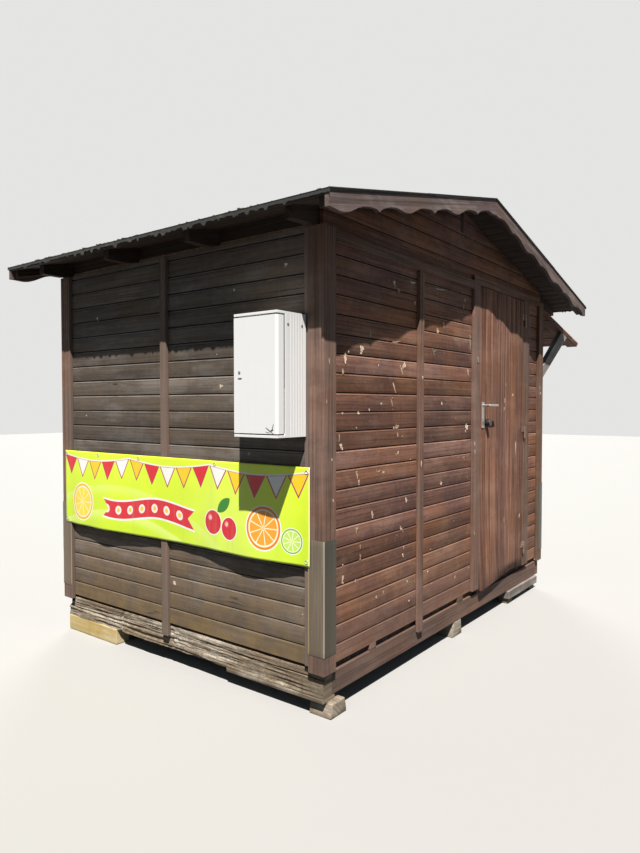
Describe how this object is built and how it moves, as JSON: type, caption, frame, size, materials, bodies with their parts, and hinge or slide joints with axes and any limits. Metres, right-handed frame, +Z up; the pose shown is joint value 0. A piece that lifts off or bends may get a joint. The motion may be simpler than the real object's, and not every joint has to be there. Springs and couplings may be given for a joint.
{
  "type": "wooden market hut",
  "caption": "Small gabled timber kiosk on blocks with boarded walls, side door, serving opening under a raised flap, scalloped bargeboards, wall cabinet and banner.",
  "frame": {"origin": "centre of the hut's plan on the ground, under the middle foot block", "axes": "+X along the ridge away from the door gable, +Y towards the closed back wall (the serving front faces -Y), +Z up"},
  "size_m": [2.544, 4.1492, 2.7175],
  "materials": {
    "old_timber": "bare and weathered",
    "yellow_paint": "worn yellow paint",
    "grey_timber": "bare and weathered",
    "stained_timber": "reddish brown stain, worn",
    "back_boards": "faded brown stain",
    "trim_timber": "brown stain",
    "door_timber": "lighter brown stain",
    "frame_timber": "sawn, bare",
    "barge_timber": "faded stain",
    "grey_metal": "dull grey sheet",
    "hinge_iron": "dull",
    "handle_metal": "satin",
    "black_lock": "satin black",
    "roof_felt": "mineral roofing felt",
    "white_metal": "off-white paint",
    "banner_sheet": "printed sheet"
  },
  "bodies": {
    "hut": {"foot_blocks": "old_timber", "yellow_bearer": "yellow_paint", "packing_plank": "grey_timber", "back_sill": "old_timber", "back_skirt": "old_timber", "front_sill": "stained_timber", "side_sills": "stained_timber", "floor_joists": "frame_timber", "floor_boards": "frame_timber", "wall_posts": "frame_timber", "wall_plates": "frame_timber", "back_wall": "back_boards", "far_side_wall": "stained_timber", "door_side_wall": "stained_timber", "door_gable": "stained_timber", "front_wall_low": "stained_timber", "front_wall_ends": "stained_timber", "front_wall_head": "stained_timber", "corner_boards": "trim_timber", "corner_guards": "grey_metal", "wall_battens": "trim_timber", "side_rails": "trim_timber", "door_casing": "trim_timber", "door_stops": "frame_timber", "door_hinge_pins": "hinge_iron", "ridge_beam": "frame_timber", "rafters": "trim_timber", "eave_blocks": "trim_timber", "roof_deck": "trim_timber", "roof_felt": "roof_felt", "bargeboards": "barge_timber", "eave_boards": "trim_timber", "cabinet_body": "white_metal", "cabinet_hinges": "hinge_iron", "banner": "banner_sheet", "hatch_flap": "stained_timber", "hatch_braces": "trim_timber", "counter_board": "trim_timber"},
    "door": {"door_leaf": "door_timber", "door_ledges": "door_timber", "door_hinge_plates": "hinge_iron", "door_handle_plate": "handle_metal", "door_lock": "black_lock"},
    "lever": {"door_lever": "handle_metal"},
    "cabinet_lid": {"cabinet_door": "white_metal"}
  },
  "joints": [
    {"name": "door_swing", "type": "hinge", "parent": "hut", "child": "door", "pos_m": [-1.074, -1.041, 0.222], "axis": [0, 0, 1], "range_deg": [0, 105]},
    {"name": "lever_turn", "type": "hinge", "parent": "door", "child": "lever", "pos_m": [-1.085, -0.284, 1.462], "axis": [1, 0, 0], "range_deg": [0, 40], "stiffness_Nm_per_rad": 0.8, "springref_deg": -22.92},
    {"name": "cabinet_swing", "type": "hinge", "parent": "hut", "child": "cabinet_lid", "pos_m": [-0.955, 1.634, 1.316], "axis": [0, 0, 1], "range_deg": [0, 110]}
  ]
}
